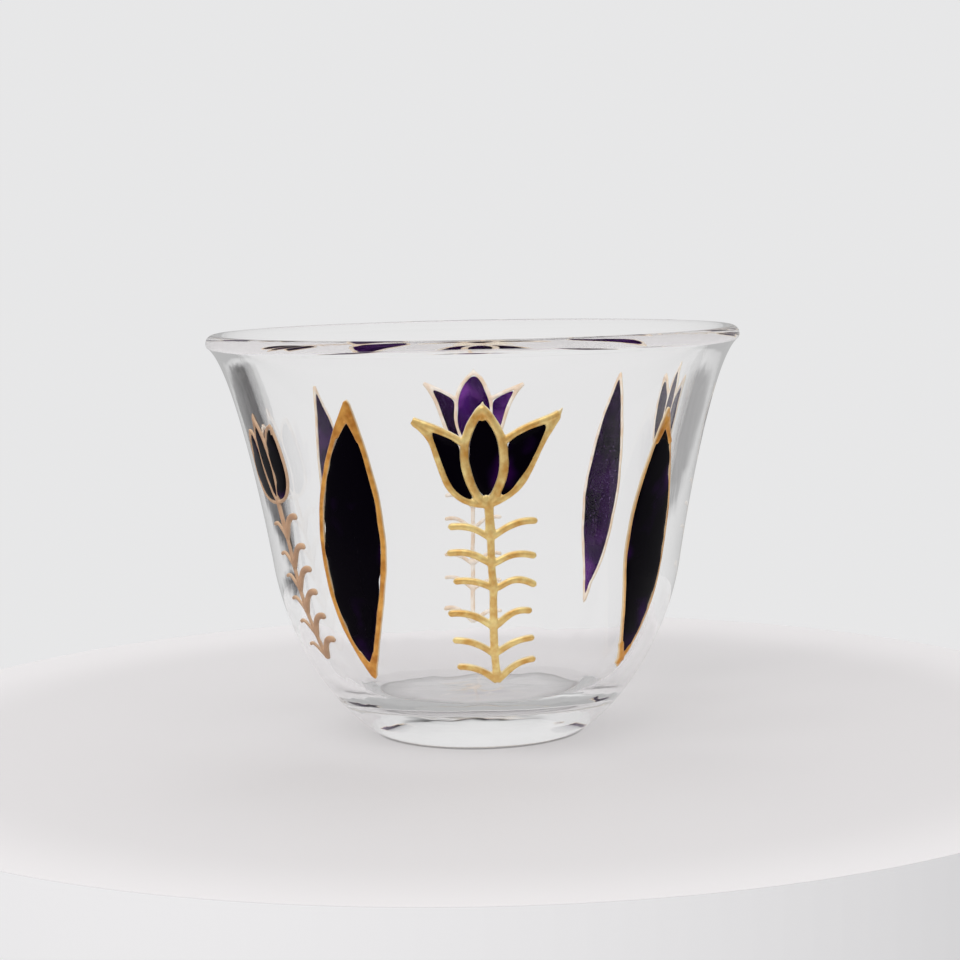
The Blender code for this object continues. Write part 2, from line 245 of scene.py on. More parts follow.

# How clear the back tulip's paint is: left petal and middle petal; then the painted highlight in a spot on
# the middle petal: its strength, place and size
BACK_LEFT_CLEAR = 0.55
BACK_MIDDLE_CLEAR = 0.35
SPOT_HIGHLIGHT = 0.6
SPOT_HIGHLIGHT_PLACE = (1.3, 8.0)
SPOT_HIGHLIGHT_SIZE = (1.1, 2.6)

# How finely lines and pools are cut, and how far in from the gold the paint ends
CURVE_STEPS = 28
GRID_STEP = 0.8
OUTLINE_STEP = 0.2
FINE_STEP = 0.05
BRIM_RINGS = (0.08, 0.2, 0.4, 0.7)
BRIM_WIDTH = 0.8
BRIM_CLIMB = 0.03
POOL_WELD = 0.02
SNAP = 0.001
EDGE_INSET = 0.28
TIP_INSET = 0.52
HEART_INSET = 0.50
TIP_REGION = 4.0
SHARPEST_CORNER = 0.6
FRONT_ROUNDING = 38
PETAL_ROUNDING = 22
LEAF_ROUNDING = 8
PAINT_WOBBLE = 0.11
WOBBLE_UP, WOBBLE_ACROSS = 0.6, 0.4
BARE_FROM = 0.32
BARE_DEPTH = 0.8
BARE_UP, BARE_ACROSS = 0.30, 0.2
LINE_OVERLAP = 0.05

# Stage, in metres, and its colours
STAND_RADIUS = 0.087
STAND_SEGMENTS = 160
STAND_DEPTH = 0.012
STAND_PLACE = (0.0, 0.004, -0.00605)
STAND_EDGE = (0.00006, 0.0001)
STAND_FADE = (0.066, 0.087)
STAND_TOP = ((0.65, 0.632, 0.632), (0.73, 0.71, 0.71))
STAND_SIDE = (0.93, 0.92, 0.92)
# Painted contact shadow on the stand round the cup's foot: its colour, soft ring, line, outer edge and
# shares
CONTACT_SHADOW = (0.14, 0.13, 0.13)
CONTACT_SHADOW_INSIDE = (0.0090, 0.0128)
CONTACT_SHADOW_LINE = (0.0128, 0.0133)
CONTACT_SHADOW_OUTSIDE = (0.0135, 0.0141)
CONTACT_SHADOW_SHARES = (0.4, 0.3)
CARD_NEAR, CARD_FAR = 0.076, 0.26
CARD_DEPTHS = (0.05, 0.26)
CARD_WOBBLE = 0.03
# Greys of the cards, a painted streaked reflection seen in the glass
CARD_REFLECTION_GREYS = ((0.010, 0.007, 0.008), (0.12, 0.11, 0.115))
GREYS = ((0.0, 0.0, 0.0), (1.0, 1.0, 1.0))
BACKDROP = (0.80, 0.80, 0.805, 1.0)
ROOM_LIGHT = (0.62, 0.62, 0.63, 1.0)
TURNED = (0.4, 0.6)

# Dark of the cards: side, where it begins and is full, share
CARD_DARKS = (
    (-1.0, 0.082, 0.096, 1.0),
    (1.0, 0.096, 0.114, 0.6),
)

# Levels of the room in clear and in mirrored rays, and the shares of its darker and lighter parts
THROUGH_LEVEL = 0.80
MIRROR_LEVEL = 0.62
OVERHEAD, OVERHEAD_SHARE = (0.1, 0.05, 1.0), 0.75
BELT_SHARE = 0.5
LOW_FRONT_SHARE = 0.4
BRIGHT, BRIGHT_SHARE = (-0.15, -0.55, 0.8), 1.5

# Lamps: name, place, breadth, depth, power
LAMPS = (
    ("softbox", (0.05, 0.30, 0.70), 1.0, 0.8, 2.6),
    ("window", (-0.25, -0.50, 0.60), 0.6, 0.4, 3.0),
)
LAMP_AIM = (0.0, 0.0, 0.03)

# Camera, fitted to the ellipses of the rim and the base
SENSOR = 36.0
FOCAL_PIXELS = 2272
PICTURE_PIXELS = 960
CAMERA_PLACE = (0.0, -0.300, 0.06489)
CAMERA_AIM = (0.0, 0.0, 0.03325)
CAMERA_ROLL = radians(-1.16)
CAMERA_SHIFT = 0.0049
CLIP_START = 0.01


class Signal:
    """A socket in a node tree. Arithmetic on signals adds Math nodes."""

    def __init__(self, tree, socket=None):
        self.tree = tree
        self.socket = socket

    def node(self, kind, settings, inputs, output=0):
        """A new node, its settings made first and its sockets given values or signals."""
        made = self.tree.nodes.new(kind)
        for name, value in settings.items():
            setattr(made, name, value)
        for name, value in inputs.items():
            if isinstance(value, Signal):
                self.tree.links.new(value.socket, made.inputs[name])
            else:
                made.inputs[name].default_value = value
        return Signal(self.tree, made.outputs[output])

    def maths(self, operation, first, second=0.0):
        return self.node("ShaderNodeMath", {"operation": operation}, {0: first, 1: second})

    def __add__(self, other):
        return self.maths("ADD", self, other)

    def __radd__(self, other):
        return self.maths("ADD", other, self)

    def __sub__(self, other):
        return self.maths("SUBTRACT", self, other)

    def __rsub__(self, other):
        return self.maths("SUBTRACT", other, self)

    def __mul__(self, other):
        return self.maths("MULTIPLY", self, other)

    def __rmul__(self, other):
        return self.maths("MULTIPLY", other, self)

    def blur(self, low, high):
        """Smooth step of this signal from low to high."""
        settings = {"interpolation_type": "SMOOTHSTEP"}
        return self.node("ShaderNodeMapRange", settings, {0: self, 1: low, 2: high, 3: 0.0, 4: 1.0})

    def tint(self, dark, light):
        """Colour between two, this signal being the share of the second."""
        inputs = {0: self}
        for slot, colour in ((6, dark), (7, light)):
            inputs[slot] = colour if isinstance(colour, Signal) else (*colour, 1.0)
        return self.node("ShaderNodeMix", {"data_type": "RGBA"}, inputs, 2)

    def bump(self, strength, distance):
        """Normal of a surface that this signal raises."""
        return self.node("ShaderNodeBump", {}, {"Strength": strength, "Distance": distance, "Height": self})

    def axis(self, name):
        """One coordinate of this vector."""
        return self.node("ShaderNodeSeparateXYZ", {}, {0: self}, name)

    def facing(self, aim):
        """How far this direction points along another."""
        return self.node("ShaderNodeVectorMath", {"operation": "DOT_PRODUCT"}, {0: self, 1: aim}, "Value")

    def place(self, output="Object"):
        return self.node("ShaderNodeTexCoord", {}, {}, output)

    def attribute(self, name):
        return self.node("ShaderNodeAttribute", {"attribute_name": name}, {}, "Fac")

    def rays(self, *kinds):
        """What the Light Path node says of a ray."""
        path = self.tree.nodes.new("ShaderNodeLightPath")
        return [Signal(self.tree, path.outputs[kind]) for kind in kinds]

    def between(self, share, first, second):
        """A shader between two, by the share of the second."""
        return self.node("ShaderNodeMixShader", {}, {0: share, 1: first, 2: second})

    def show(self, output):
        """Send this shader to the surface of its tree."""
        self.tree.links.new(self.socket, self.tree.nodes[output].inputs["Surface"])


def finish(name):
    """A new material: its tree as a signal, its shader and itself."""
    material = bpy.data.materials.new(name)
    material.use_nodes = True
    shader = material.node_tree.nodes["Principled BSDF"]
    return Signal(material.node_tree), shader, material


def feed(shader, **values):
    """Set or link a shader's sockets, named with underscores for spaces."""
    for name, value in values.items():
        socket = shader.inputs[name.replace("_", " ")]
        if isinstance(value, Signal):
            value.tree.links.new(value.socket, socket)
        else:
            socket.default_value = value


def grain(tree, scale, detail=3.0, rough=0.5):
    """Noise in object space, in waves per millimetre."""
    inputs = {"Vector": tree.place(), "Scale": scale / MM, "Detail": detail, "Roughness": rough}
    return tree.node("ShaderNodeTexNoise", {}, inputs, 0)


def clear_glass():
    """Glass with waves low in the bowl, which lets shadow, diffuse and often bent rays straight through."""
    tree, shader, material = finish("clear_glass")
    low = 1.0 - tree.place().axis("Z").blur(*WAVES_FADE)
    uneven = grain(tree, scale=0.13, detail=1.5) * (LEAST_WAVES + (1.0 - LEAST_WAVES) * low)
    feed(shader, Base_Color=GLASS_CLEAR, Roughness=0.0, IOR=GLASS_IOR, Transmission_Weight=1.0,
         Specular_Tint=GLASS_MIRROR, Normal=uneven.bump(strength=0.3, distance=0.0006))
    shadow, diffuse, depth = tree.rays("Is Shadow Ray", "Is Diffuse Ray", "Ray Depth")
    straight = tree.maths("MAXIMUM", shadow, diffuse)
    straight = tree.maths("MAXIMUM", straight, tree.maths("GREATER_THAN", depth, MOST_BENDS))
    through = tree.node("ShaderNodeBsdfTransparent", {}, {"Color": GLASS_SHADE})
    tree.between(straight, Signal(tree.tree, shader.outputs[0]), through).show("Material Output")
    return material


def gold_paste():
    """Patchy gold from yellow over orange, darker towards the crest of the line and paler at its foot as a
    painted highlight; the tan is painted shade.
    """
    tree, shader, material = finish("gold_paste")
    rise, tone = tree.attribute("rise"), tree.attribute("tone")
    patches = grain(tree, scale=0.55, rough=0.6)
    specks = grain(tree, scale=7.0, detail=2.0)
    light = (patches * PATCH_CONTRAST - rise * GOLD_CREST - GOLD_DARKER).blur(0.0, 1.0)
    # Painted shade: the left tulip's gold turns tan, less metallic and rougher
    in_shade = tone.blur(LEAF_TONE, SHADE_TAN_TONE)
    gold = tone.blur(0.0, LEAF_TONE).tint(light.tint(*GOLD_YELLOW), light.tint(*GOLD_ORANGE))
    gold = in_shade.tint(gold, light.tint(*GOLD_TAN_IN_SHADE))
    # Painted highlight: cream along the foot of the line, weaker on the gold painted in shade
    foot = (EDGE_HIGHLIGHT_TOP - rise).blur(0.0, 0.4) * (EDGE_HIGHLIGHT_SHARE - in_shade * EDGE_HIGHLIGHT_SHADE_LOSS)
    feed(shader, Base_Color=foot.tint(gold, GOLD_EDGE_HIGHLIGHT), Metallic=GOLD_METAL - in_shade * GOLD_METAL,
         Roughness=GOLD_ROUGH + specks * GOLD_SPECK_ROUGH + in_shade * GOLD_DULL_ROUGH,
         Normal=specks.bump(strength=0.25, distance=0.00003))
    return material


def gold_back():
    tree, shader, material = finish("gold_paste_under_glass")
    cream = grain(tree, scale=0.6, detail=2.0).blur(0.3, 0.7).tint(*GOLD_UNDER_GLASS)
    feed(shader, Base_Color=cream, Roughness=0.6, Specular_IOR_Level=0.0)
    return material


def purple_paint():
    tree, shader, material = finish("purple_paint")
    patches = grain(tree, scale=0.16, detail=2.0)
    thin = patches * PATCH_CONTRAST - tree.attribute("rise") * PURPLE_CREST - PURPLE_DARKER
    thin = thin.blur(0.25, 0.85)
    streaks = grain(tree, scale=1.5)
    feed(shader, Base_Color=thin.tint(*PURPLE), Roughness=0.18, Specular_IOR_Level=0.03,
         Normal=streaks.bump(strength=0.15, distance=0.00005))
    return material


def purple_back():
    """Paint seen through the glass it lies on, streaked, speckled and clearer where its tone is high."""
    tree, shader, material = finish("purple_paint_under_glass")
    streaks = grain(tree, scale=0.22, detail=2.0)
    specks = grain(tree, scale=5.0, detail=2.0)
    dark = streaks.blur(0.35, 0.75).tint(*VIOLET_DARK)
    bright = streaks.blur(0.42, 0.66).tint(*VIOLET_BRIGHT)
    violet = specks.blur(0.60, 0.72).tint(tree.attribute("tone").tint(dark, bright), VIOLET_SPECKS)
    feed(shader, Base_Color=violet, Roughness=0.5, Specular_IOR_Level=0.0)
    return material


def bezier(start, pull_start, pull_end, end, steps=CURVE_STEPS):
    knots = [Vector((x, y, 0.0)) for x, y in (start, pull_start, pull_end, end)]
    return [point.to_2d() for point in interpolate_bezier(*knots, steps + 1)]


def handled(start, shares, span, end):
    """A curve whose handles are shares of a breadth and a height."""
    return bezier(start, *[(span[0] * x, span[1] * y) for x, y in shares], end)


def leaning(angle):
    return Vector((sin(angle), cos(angle)))


def lip_point(angle):
    centre = Vector((RIM_DIAMETER / 2 - LIP_RADIUS, CUP_HEIGHT - LIP_RADIUS))
    return centre + LIP_RADIUS * Vector((cos(angle), sin(angle)))


def outer_wall(steps):
    foot = Vector((FOOT_DIAMETER / 2, 0.0))
    waist = Vector((WAIST_DIAMETER / 2, WAIST_HEIGHT))
    lip = lip_point(-LIP_FLARE / 2)
    lean = leaning(WAIST_LEAN)
    bowl = bezier(foot, foot + FOOT_PULL * leaning(FOOT_SPREAD),
                  waist - BELOW_WAIST_PULL * lean, waist, steps)
    flare = bezier(waist, waist + ABOVE_WAIST_PULL * lean,
                   lip - LIP_PULL * leaning(LIP_FLARE), lip, steps)
    return bowl + flare[1:]


def inner_wall(steps):
    floor = Vector((FLOOR_DIAMETER / 2, BASE_THICKNESS))
    lean = leaning(WAIST_LEAN)
    waist = Vector((WAIST_DIAMETER / 2 - WALL_THICKNESS, WAIST_HEIGHT))
    mouth = lip_point(pi - MOUTH_FLARE)
    bowl = bezier(floor, floor + Vector((FLOOR_PULL, 0.0)), waist - BOWL_PULL * lean, waist, steps)
    upper = bezier(waist, waist + INSIDE_WAIST_PULL * lean,
                   mouth - MOUTH_PULL * leaning(MOUTH_FLARE), mouth, steps)
    return bowl + upper[1:]


def outward(points, index):
    before = points[max(index - 1, 0)]
    after = points[min(index + 1, len(points) - 1)]
    along = (after - before).normalized()
    return Vector((along.y, -along.x))


class Wall:
    """The outer wall unrolled: distance up the wall gives radius, height and slope."""

    def __init__(self):
        self.points = outer_wall(WALL_STEPS)
        self.squares = [outward(self.points, index) for index in range(len(self.points))]
        self.runs = [0.0]
        for below, above in zip(self.points, self.points[1:]):
            self.runs.append(self.runs[-1] + (above - below).length)

    def run_at_height(self, height):
        index = next(i for i, point in enumerate(self.points) if point.y > height)
        below, above = self.points[index - 1], self.points[index]
        share = (height - below.y) / (above.y - below.y)
        return self.runs[index - 1] + share * (self.runs[index] - self.runs[index - 1])

    def place(self, angle, across, run, proud):
        """World point that lies across from an angle and up the wall, proud of the glass."""
        low, high = 0, len(self.runs) - 1
        while high - low > 1:
            middle = (low + high) // 2
            low, high = (middle, high) if self.runs[middle] <= run else (low, middle)
        share = (run - self.runs[low]) / (self.runs[high] - self.runs[low])
        flat = self.points[low].lerp(self.points[high], share)
        spot = flat + proud * self.squares[low].lerp(self.squares[high], share).normalized()
        turn = angle + across / flat.x
        return MM * Vector((spot.x * sin(turn), -spot.x * cos(turn), spot.y))


WALL = Wall()


def glass_profile():
    """Half section from the middle of the inner floor over the lip to the middle of the underside."""
    start, end = pi - MOUTH_FLARE, -LIP_FLARE / 2
    lip = [lip_point(start + (end - start) * step / LIP_STEPS) for step in range(1, LIP_STEPS)]
    outside = [point for point in outer_wall(PROFILE_STEPS)[::-1] if point.y > FOOT_ROUND]
    foot = Vector((FOOT_DIAMETER / 2, 0.0))
    up, across = FOOT_EDGE_PULLS
    edge = bezier(outside[-1], foot + up * FOOT_ROUND * leaning(FOOT_SPREAD),
                  foot - Vector((across * FOOT_ROUND, 0.0)), foot - Vector((FOOT_ROUND, 0.0)),
                  FOOT_EDGE_STEPS)
    floor = [Vector((0.0, BASE_THICKNESS)), Vector((FLOOR_DIAMETER / 4, BASE_THICKNESS))]
    under = [Vector((FOOT_DIAMETER / 4, 0.0)), Vector((0.0, 0.0))]
    return floor + inner_wall(PROFILE_STEPS) + lip + outside + edge[1:] + under


def shown(name, mesh, materials):
    """Put a finished bmesh in the scene as an object at the origin."""
    data = bpy.data.meshes.new(name)
    mesh.to_mesh(data)
    mesh.free()
    for material in materials:
        data.materials.append(material)
    item = bpy.data.objects.new(name, data)
    bpy.context.scene.collection.objects.link(item)
    return item


def link(name, mesh, materials):
    """A smooth piece on show that rides with the cup."""
    piece = shown(name, mesh, materials)
    piece.data.polygons.foreach_set("use_smooth", [True] * len(piece.data.polygons))
    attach(piece, "root")
    return piece


def glass_body():
    mesh = bmesh.new()
    spots = [mesh.verts.new((radius * MM, 0.0, height * MM)) for radius, height in glass_profile()]
    edges = [mesh.edges.new(pair) for pair in zip(spots, spots[1:])]
    bmesh.ops.spin(mesh, geom=spots + edges, cent=(0, 0, 0), axis=(0, 0, 1), angle=2 * pi,
                   steps=SPIN_STEPS, use_merge=True)
    bmesh.ops.remove_doubles(mesh, verts=mesh.verts, dist=WELD)
    bmesh.ops.recalc_face_normals(mesh, faces=mesh.faces)
    return mesh


def drift(seed, place):
    """A smooth value from -1 to 1 that wanders along a stroke."""
    return noise.noise(Vector((place, DRIFT_ROW * seed, DRIFT_SLICE)))


def resampled(path, step):
    """Evenly spaced points along a path, about a step apart, both ends included."""
    runs = [0.0]
    for before, after in zip(path, path[1:]):
        runs.append(runs[-1] + (after - before).length)
    count = max(round(runs[-1] / step), 2)
    result, index = [], 0
    for number in range(count + 1):
        run = runs[-1] * number / count
        while index < len(path) - 2 and runs[index + 1] < run:
            index += 1
        share = (run - runs[index]) / (runs[index + 1] - runs[index])
        result.append(path[index].lerp(path[index + 1], share))
    return result


def wound(outline, points):
    """For each point, how many times a closed outline winds round it."""
    ring = np.array(outline)
    spots = np.array(points)
    start = ring[None] - spots[:, None]
    end = np.roll(start, -1, axis=1)
    cross = start[..., 0] * end[..., 1] - start[..., 1] * end[..., 0]
    return np.rint(np.arctan2(cross, (start * end).sum(2)).sum(1) / (2 * pi))


def bead(path, width, seed, closed=False, taper=1.0):
    """One line of paste as a round tube of uneven width, flat on the glass, with a round end."""
    points = resampled(path + path[:1] if closed else path, BEAD_STEP)
    if closed:
        points.pop()
    half = width / 2
    curve = bpy.data.curves.new("line", "CURVE")
    curve.dimensions = "3D"
    curve.bevel_depth = 1.0
    curve.bevel_resolution = BEAD_FACETS
    curve.use_fill_caps = True
    spline = curve.splines.new("POLY")
    spline.use_cyclic_u = closed
    spline.points.add(len(points) - 1)
    total = len(points) - 1
    for index, (spot, point) in enumerate(zip(spline.points, points)):
        run = index * BEAD_STEP
        slow = SLOW_SWELL * drift(seed, run * SLOW_WAVES)
        swell = half * (1.0 + slow + QUICK_SWELL * drift(seed + 50, run * QUICK_WAVES))
        if not closed:
            swell *= 1.0 + (taper - 1.0) * index / total
            end = min(total - index, 2) * BEAD_STEP
            swell *= sqrt(max(1.0 - (1.0 - min(end / half, 1.0)) ** 2, BEAD_END))
        side = outward(points, index) * WANDER * drift(seed + 90, run * WANDER_WAVES)
        spot.co = (point.x + side.x, point.y + side.y, 0.0, 1.0)
        spot.radius = swell
    return curve


def evaluated(item):
    """Mesh of an object with its bevel or modifiers."""
    depsgraph = bpy.context.evaluated_depsgraph_get()
    return bpy.data.meshes.new_from_object(item.evaluated_get(depsgraph))


def taken(mesh, data):
    """Add a mesh to a bmesh and remove it."""
    mesh.from_mesh(data)
    bpy.data.meshes.remove(data)


def merged_paste(curves):
    """Tubes run together into one smooth body, flattened and cut off just under the glass."""
    scratch = [bpy.data.objects.new("line", curve) for curve in curves]
    for item in scratch:
        bpy.context.scene.collection.objects.link(item)
    pile = bmesh.new()
    for item in scratch:
        taken(pile, evaluated(item))
    for item in scratch:
        bpy.data.objects.remove(item)
    item = shown("pile", pile, [])
    remesh = item.modifiers.new("run together", "REMESH")
    remesh.mode = "VOXEL"
    remesh.voxel_size = VOXEL
    mesh = bmesh.new()
    taken(mesh, evaluated(item))
    data = item.data
    bpy.data.objects.remove(item)
    bpy.data.meshes.remove(data)
    for _ in range(SMOOTH_ROUNDS):
        bmesh.ops.smooth_vert(mesh, verts=mesh.verts, factor=0.5,
                              use_axis_x=True, use_axis_y=True, use_axis_z=True)
    flat = (LINE_RISE - LINE_CENTRE) / (LINE_WIDTH / 2)
    for spot in mesh.verts:
        spot.co.z = LINE_CENTRE + spot.co.z * flat
    geometry = mesh.verts[:] + mesh.edges[:] + mesh.faces[:]
    cut = bmesh.ops.bisect_plane(mesh, geom=geometry, dist=CUT_WELD, plane_co=(0, 0, -LINE_SINK),
                                 plane_no=(0, 0, -1), clear_outer=True)
    rims = [item for item in cut["geom_cut"] if isinstance(item, bmesh.types.BMEdge)]
    bmesh.ops.triangle_fill(mesh, edges=rims, use_beauty=True)
    bmesh.ops.recalc_face_normals(mesh, faces=mesh.faces)
    return mesh


def laid(mesh, spot, name, materials, height, hue=0.0):
    """Lay a flat body on the wall and put it on show; its faces on the glass get the second material."""
    angle, level, lean, size = spot
    run = WALL.run_at_height(level)
    mesh.normal_update()
    for face in mesh.faces:
        face.material_index = int(face.normal.z < UNDERSIDE and face.calc_center_median().z < 0.0)
    rise = mesh.verts.layers.float.new("rise")
    tone = mesh.verts.layers.float.new("tone")
    turn = Matrix.Rotation(lean, 3, "Z")
    for corner in mesh.verts:
        proud = corner.co.z
        corner[rise] = max(min(proud / height, 1.0), 0.0)
        corner[tone] = hue(corner.co) if callable(hue) else hue
        across, up, _ = turn @ Vector((corner.co.x * size, corner.co.y * size, 0.0))
        corner.co = WALL.place(angle, across, run + up, proud)
    return link(name, mesh, materials)


def mirrored(outline):
    return [Vector((-x, y)) for x, y in reversed(outline)]


def centre_side(heart):
    """Right edge of the middle petal, from its foot to its tip."""
    side = handled((0.0, CALYX), CENTRE_PETAL_SIDE, (CENTRE_PETAL_WIDTH, APEX), (0.0, APEX))
    return [Vector((heart * x, y)) for x, y in side]


def side_petal(tip, belly, outside, top, shoulder):
    """Middle lines of the right petal: up its outside, and from its tip back to the middle petal."""
    up = handled((0.0, CALYX), outside, (belly, tip.y), tip)
    return up, handled(tip, top, tip, shoulder)


def twig(joint, reach, rise, arch, stray=0.0):
    low, high = TWIG_BEND
    knots = ((0.0, 0.0), (low * reach, TWIG_LIFT * rise), (high * reach, rise + arch), (reach, rise))
    return bezier(*[(x + stray, y - joint) for x, y in knots])


def leaf_edge(length, breadth, bow):
    """Middle line of a leaf's gold edge."""
    half, belly = length / 2 - LEAF_END, breadth / 2 - LINE_WIDTH / 2
    lower = handled((0.0, -half), LEAF_BELOW, (belly, -half), (belly, 0.0))
    upper = handled((belly, 0.0), LEAF_ABOVE, (belly, half), (0.0, half))
    side = lower + upper[1:]
    ring = side[:-1] + mirrored(side)[:-1]
    return [Vector((x + bow * (2 * y / length) ** 2, y)) for x, y in ring]


def shrunk(outline, distance):
    """A counter-clockwise outline moved inwards."""
    moved = []
    for index, point in enumerate(outline):
        before = (point - outline[index - 1]).normalized()
        after = (outline[(index + 1) % len(outline)] - point).normalized()
        square = Vector((-before.y - after.y, before.x + after.x))
        moved.append(point + square * distance / max(square.length_squared / 2, SHARPEST_CORNER))
    return moved


def cell(edge, insets, seed, rounding):
    """Where the paint ends inside a closed gold line: moved in, clear of the line, corners rounded."""
    deep = [Vector((*point, inset)) for point, inset in zip(edge, insets)]
    ring = resampled(deep + deep[:1], OUTLINE_STEP)[:-1]
    for point in ring:
        bare = max(drift(seed, BARE_UP * point.y + BARE_ACROSS * point.x) - BARE_FROM, 0.0)
        wobble = drift(seed + 5, WOBBLE_UP * point.y + WOBBLE_ACROSS * point.x)
        point.z += PAINT_WOBBLE * wobble + BARE_DEPTH * bare
    spots = np.array(ring)
    before, after = np.roll(spots, 1, axis=0)[:, :2], np.roll(spots, -1, axis=0)[:, :2]
    along = (after - before) / np.linalg.norm(after - before, axis=1)[:, None]
    moved = spots[:, :2] + spots[:, 2:] * np.stack((-along[:, 1], along[:, 0]), axis=1)
    gaps = np.linalg.norm(moved[:, None] - spots[None, :, :2], axis=2) - spots[None, :, 2]
    kept = [Vector(point) for point in moved[gaps.min(axis=1) > -LINE_OVERLAP]]
    outline = np.array(resampled(kept + kept[:1], OUTLINE_STEP)[:-1])
    for _ in range(rounding):
        outline = outline / 2 + (np.roll(outline, 1, axis=0) + np.roll(outline, -1, axis=0)) / 4
    return [Vector(point) for point in outline]


def lift(gap, width):
    """Height of a gold line of a width at a distance from its middle."""
    top = (LINE_RISE - LINE_CENTRE) * width / LINE_WIDTH
    return LINE_CENTRE + top * sqrt(max(1.0 - (2 * gap / width) ** 2, 0.0))


def finder(points):
    """Search tree of a closed run of points."""
    dense = resampled(points + points[:1], FINE_STEP)
    tree = KDTree(len(dense))
    for index, point in enumerate(dense):
        tree.insert(point.to_3d(), index)
    tree.balance()
    return tree


def pool(edge, insets, seed, width, rounding):
    """Paint that has run out inside a gold edge and climbs it a little at the brim."""
    outline = cell(edge, insets, seed, rounding)
    low = Vector((min(p.x for p in outline), min(p.y for p in outline)))
    high = Vector((max(p.x for p in outline), max(p.y for p in outline)))
    points, edges = list(outline), []
    for depth in BRIM_RINGS:
        first = len(points)
        points += shrunk(outline, depth)
        edges += [(k, k + 1) for k in range(first, len(points) - 1)] + [(len(points) - 1, first)]
    for axis in (0, 1):
        place = low[axis] + GRID_STEP / 2
        while place < high[axis]:
            ends = [low.copy(), high.copy()]
            ends[0][axis] = ends[1][axis] = place
            edges.append((len(points), len(points) + 1))
            points += ends
            place += GRID_STEP
    edges += [(k, (k + 1) % len(outline)) for k in range(len(outline))]
    corners, _, triangles, _, _, _ = delaunay_2d_cdt(points, edges, [], 0, SNAP)
    middles = [sum((corners[k] for k in triangle), Vector((0, 0))) / 3 for triangle in triangles]
    mesh = bmesh.new()
    spots = [mesh.verts.new((x, y, -POOL_SINK)) for x, y in corners]
    for triangle, turns in zip(triangles, wound(outline, middles)):
        if turns > 0:
            mesh.faces.new([spots[corner] for corner in triangle])
    bmesh.ops.delete(mesh, geom=[spot for spot in spots if not spot.link_faces], context="VERTS")
    bmesh.ops.remove_doubles(mesh, verts=mesh.verts, dist=POOL_WELD)
    gold, brim = finder(edge), finder(outline)
    grown = bmesh.ops.extrude_face_region(mesh, geom=mesh.faces[:], use_keep_orig=True)
    for spot in [item for item in grown["geom"] if isinstance(item, bmesh.types.BMVert)]:
        near, _, gap = brim.find(spot.co.xy.to_3d())
        rim = lift(gold.find(near)[2], width) + BRIM_CLIMB
        share = min(gap / BRIM_WIDTH, 1.0)
        share = sqrt(1.0 - (1.0 - share) ** 2) if rim < POOL_DEPTH else 1.0 - (1.0 - share) ** 2
        spot.co.z = rim + (POOL_DEPTH - rim) * share
    bmesh.ops.recalc_face_normals(mesh, faces=mesh.faces)
    if mesh.calc_volume(signed=True) < 0:
        bmesh.ops.reverse_faces(mesh, faces=mesh.faces)
    return mesh


def tulip_flower(number, breadth, spread, rise, heart, seed):
    """A flower's beads of gold, and for each petal the gold edge round it and how far in its paint ends."""
    front = number == 1
    shift = Vector((FRONT_HEART if front else 0.0, 0.0))
    half = centre_side(heart)
    if number == 3:
        half = [Vector((BACK_HEART * x, y)) for x, y in half]
    ring = [point + shift for point in half[:-1] + mirrored(half)[:-1]]
    width, tip_inset, edge_inset, heart_inset = LINE_WIDTH, TIP_INSET, EDGE_INSET, HEART_INSET
    if number > 1:
        width, edge_inset = (SIDE_LINE, SIDE_INSET) if number == 4 else (BACK_LINE, BACK_INSET)
        tip_inset, heart_inset = BACK_TIP * edge_inset, edge_inset
    whisker = [Vector(place) + shift for place in APEX_WHISKER]
    beads = [bead(ring, HEART_SHARE * width, seed + 1, closed=True),
             bead(whisker, APEX_WHISKER_WIDTH, seed + 2, taper=WHISKER_TAPER)]
    if front:
        for ends in FRONT_FILLS:
            path = [Vector((0.0, height)) + shift for height in ends]
            beads.append(bead(path, FRONT_FILL_WIDTH, seed + 10))
    petals = {"centre": (ring, [heart_inset] * len(ring))}
    for k, (name, side) in enumerate((("left", -1), ("right", 1))):
        tip = Vector((breadth * spread * TIP_REACH, rise * TIP_HEIGHT))
        curves = (SIDE_PETAL_OUTSIDE, SIDE_PETAL_TOP)
        if front:
            tip = Vector(FRONT_TIPS[k])
            curves = (FRONT_OUTSIDES[k], FRONT_TOPS[k])
        elif number == 4:
            tip = Vector(SIDE_TIPS[k])
            curves = (SIDE_OUTSIDES[k], SIDE_TOPS[k])
        inner = [point + side * shift for point in half if point.y < SHOULDER_HEIGHT]
        outside, top = side_petal(tip, breadth * SIDE_PETAL_BELLY, *curves, inner[-1])
        open_edge = outside[:-1] + top[:-1]
        edge = open_edge + inner[:0:-1]
        far = [min((point - tip).length, (point - outside[0]).length + 1.0) / TIP_REGION
               for point in open_edge]
        insets = [tip_inset + (edge_inset - tip_inset) * min(share, 1.0) for share in far]
        insets += [heart_inset] * (len(edge) - len(insets))
        inward = (inner[-1] + outside[CURVE_STEPS // 2] - 2 * tip).normalized()
        notch = [tip, tip + inward * NOTCH_LENGTH]
        flip = [[Vector((side * x, y)) for x, y in path] for path in (outside, top, notch)]
        for path, share, index in zip(flip, (1.0, 1.0, NOTCH_SHARE), (3, 5, 7)):
            beads.append(bead(path, share * width, seed + index + k))
        if front and side > 0:
            whisker = [tip, tip + Vector(FRONT_WHISKER)]
            beads.append(bead(whisker, FRONT_WHISKER_WIDTH, seed + 9, taper=WHISKER_TAPER))
        petals[name] = (edge, insets) if side > 0 else (mirrored(edge), insets[::-1])
    return beads, petals


